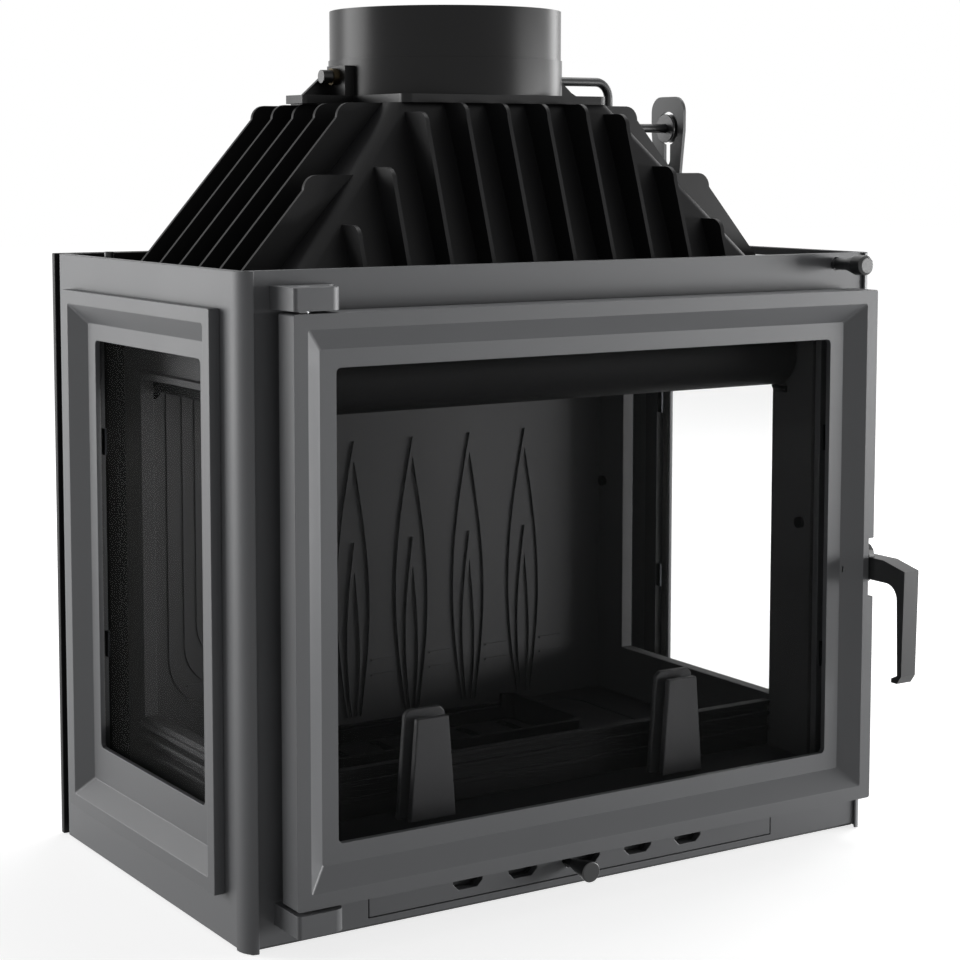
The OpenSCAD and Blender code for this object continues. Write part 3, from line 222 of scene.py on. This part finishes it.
# Camera, from the front left and a little above
lens_px = 2208.75
centre_px = (456.23, 365.0)
side = 960
sensor = 36.0
down_deg = 5.41
turn_deg = 32.02
camera = bpy.data.objects.new("camera", bpy.data.cameras.new("camera"))
camera.data.sensor_fit = "HORIZONTAL"
camera.data.sensor_width = sensor
camera.data.lens = lens_px / side * sensor
camera.data.shift_x = (side / 2 - centre_px[0]) / side
camera.data.shift_y = (centre_px[1] - side / 2) / side
camera.location = (-1.01398, -1.60382, 0.59083)
camera.rotation_euler = (math.radians(90 - down_deg), 0, math.radians(-turn_deg))
scene.collection.objects.link(camera)
scene.camera = camera


# Floor, light and background
def seen_directly(tree):
    """1 where the camera looks, straight or by mirror or glass, and 0 where only light falls."""
    path = add(tree, "ShaderNodeLightPath")
    eye = add(tree, "ShaderNodeMath", {0: path.outputs["Is Camera Ray"], 1: path.outputs["Is Glossy Ray"]},
              operation="ADD", use_clamp=True)
    seen = add(tree, "ShaderNodeMath", {0: eye.outputs[0], 1: path.outputs["Is Transmission Ray"]},
               operation="ADD", use_clamp=True)
    return seen.outputs[0]


def stage_material(name, colour, least, near, far):
    """A pale matt surface that keeps the shadows; the eye sees it fade to white from near to far metres."""
    material, tree, out = blank(name)
    matt = add(tree, "ShaderNodeBsdfDiffuse", {"Color": linear(colour)})
    place = add(tree, "ShaderNodeNewGeometry").outputs["Position"]
    reach = add(tree, "ShaderNodeVectorMath", {0: place}, operation="LENGTH").outputs["Value"]
    glow = add(tree, "ShaderNodeMapRange",
               {"Value": reach, "From Min": near, "From Max": far, "To Min": least, "To Max": 1.0})
    shine = add(tree, "ShaderNodeEmission", {"Color": linear("#ffffff"), "Strength": glow.outputs["Result"]})
    both = add(tree, "ShaderNodeAddShader")
    tree.links.new(matt.outputs["BSDF"], both.inputs[0])
    tree.links.new(shine.outputs["Emission"], both.inputs[1])
    mix = add(tree, "ShaderNodeMixShader", {0: seen_directly(tree)})
    tree.links.new(matt.outputs["BSDF"], mix.inputs[1])
    tree.links.new(both.outputs["Shader"], mix.inputs[2])
    tree.links.new(mix.outputs["Shader"], out.inputs["Surface"])
    return material


reach = 12
below = 0.5
floor_mesh = bpy.data.meshes.new("floor")
floor_mesh.from_pydata([(-reach, -reach, 0), (reach, -reach, 0), (reach, reach, 0), (-reach, reach, 0)],
                       [], [(0, 1, 2, 3)])
floor = bpy.data.objects.new("floor", floor_mesh)
floor_mesh.materials.append(stage_material("pale_floor", "#dcdcdc", 0.74, 0.5, 1.6))
floor.location.z = -below * MM
scene.collection.objects.link(floor)

world = bpy.data.worlds.new("studio")
scene.world = world
world.use_nodes = True
sky = world.node_tree
sky.nodes.clear()
sky_out = add(sky, "ShaderNodeOutputWorld")
ambient = 0.11
power = add(sky, "ShaderNodeMapRange", {"Value": seen_directly(sky), "To Min": ambient, "To Max": 1.0})
glow = add(sky, "ShaderNodeBackground", {"Color": linear("#ffffff"), "Strength": power.outputs["Result"]})
sky.links.new(glow.outputs["Background"], sky_out.inputs["Surface"])


def softbox(name, place, aim, width, height, power):
    """A large soft lamp at place, turned to aim: sizes in metres and power in watts."""
    lamp = bpy.data.lights.new(name, "AREA")
    lamp.shape = "RECTANGLE"
    lamp.size = width
    lamp.size_y = height
    lamp.energy = power
    lamp_object = bpy.data.objects.new(name, lamp)
    lamp_object.location = place
    lamp_object.rotation_euler = (Vector(aim) - Vector(place)).to_track_quat("-Z", "Y").to_euler()
    scene.collection.objects.link(lamp_object)


softbox("left_softbox", (-2.4, 2.1, 0.7), (-0.2, 0, 0.3), 1.9, 1.4, 58)
softbox("right_softbox", (2.7, -1.3, 0.3), (0.1, -0.1, 0.1), 2.4, 0.6, 84)
softbox("rim_softbox", (2.6, 0.6, 1.0), (0.1, 0, 0.5), 0.9, 1.2, 16)
softbox("top_softbox", (0.9, 0.6, 2.6), (0, 0.05, 0.5), 1.8, 1.2, 28)

scene.view_settings.view_transform = "Standard"
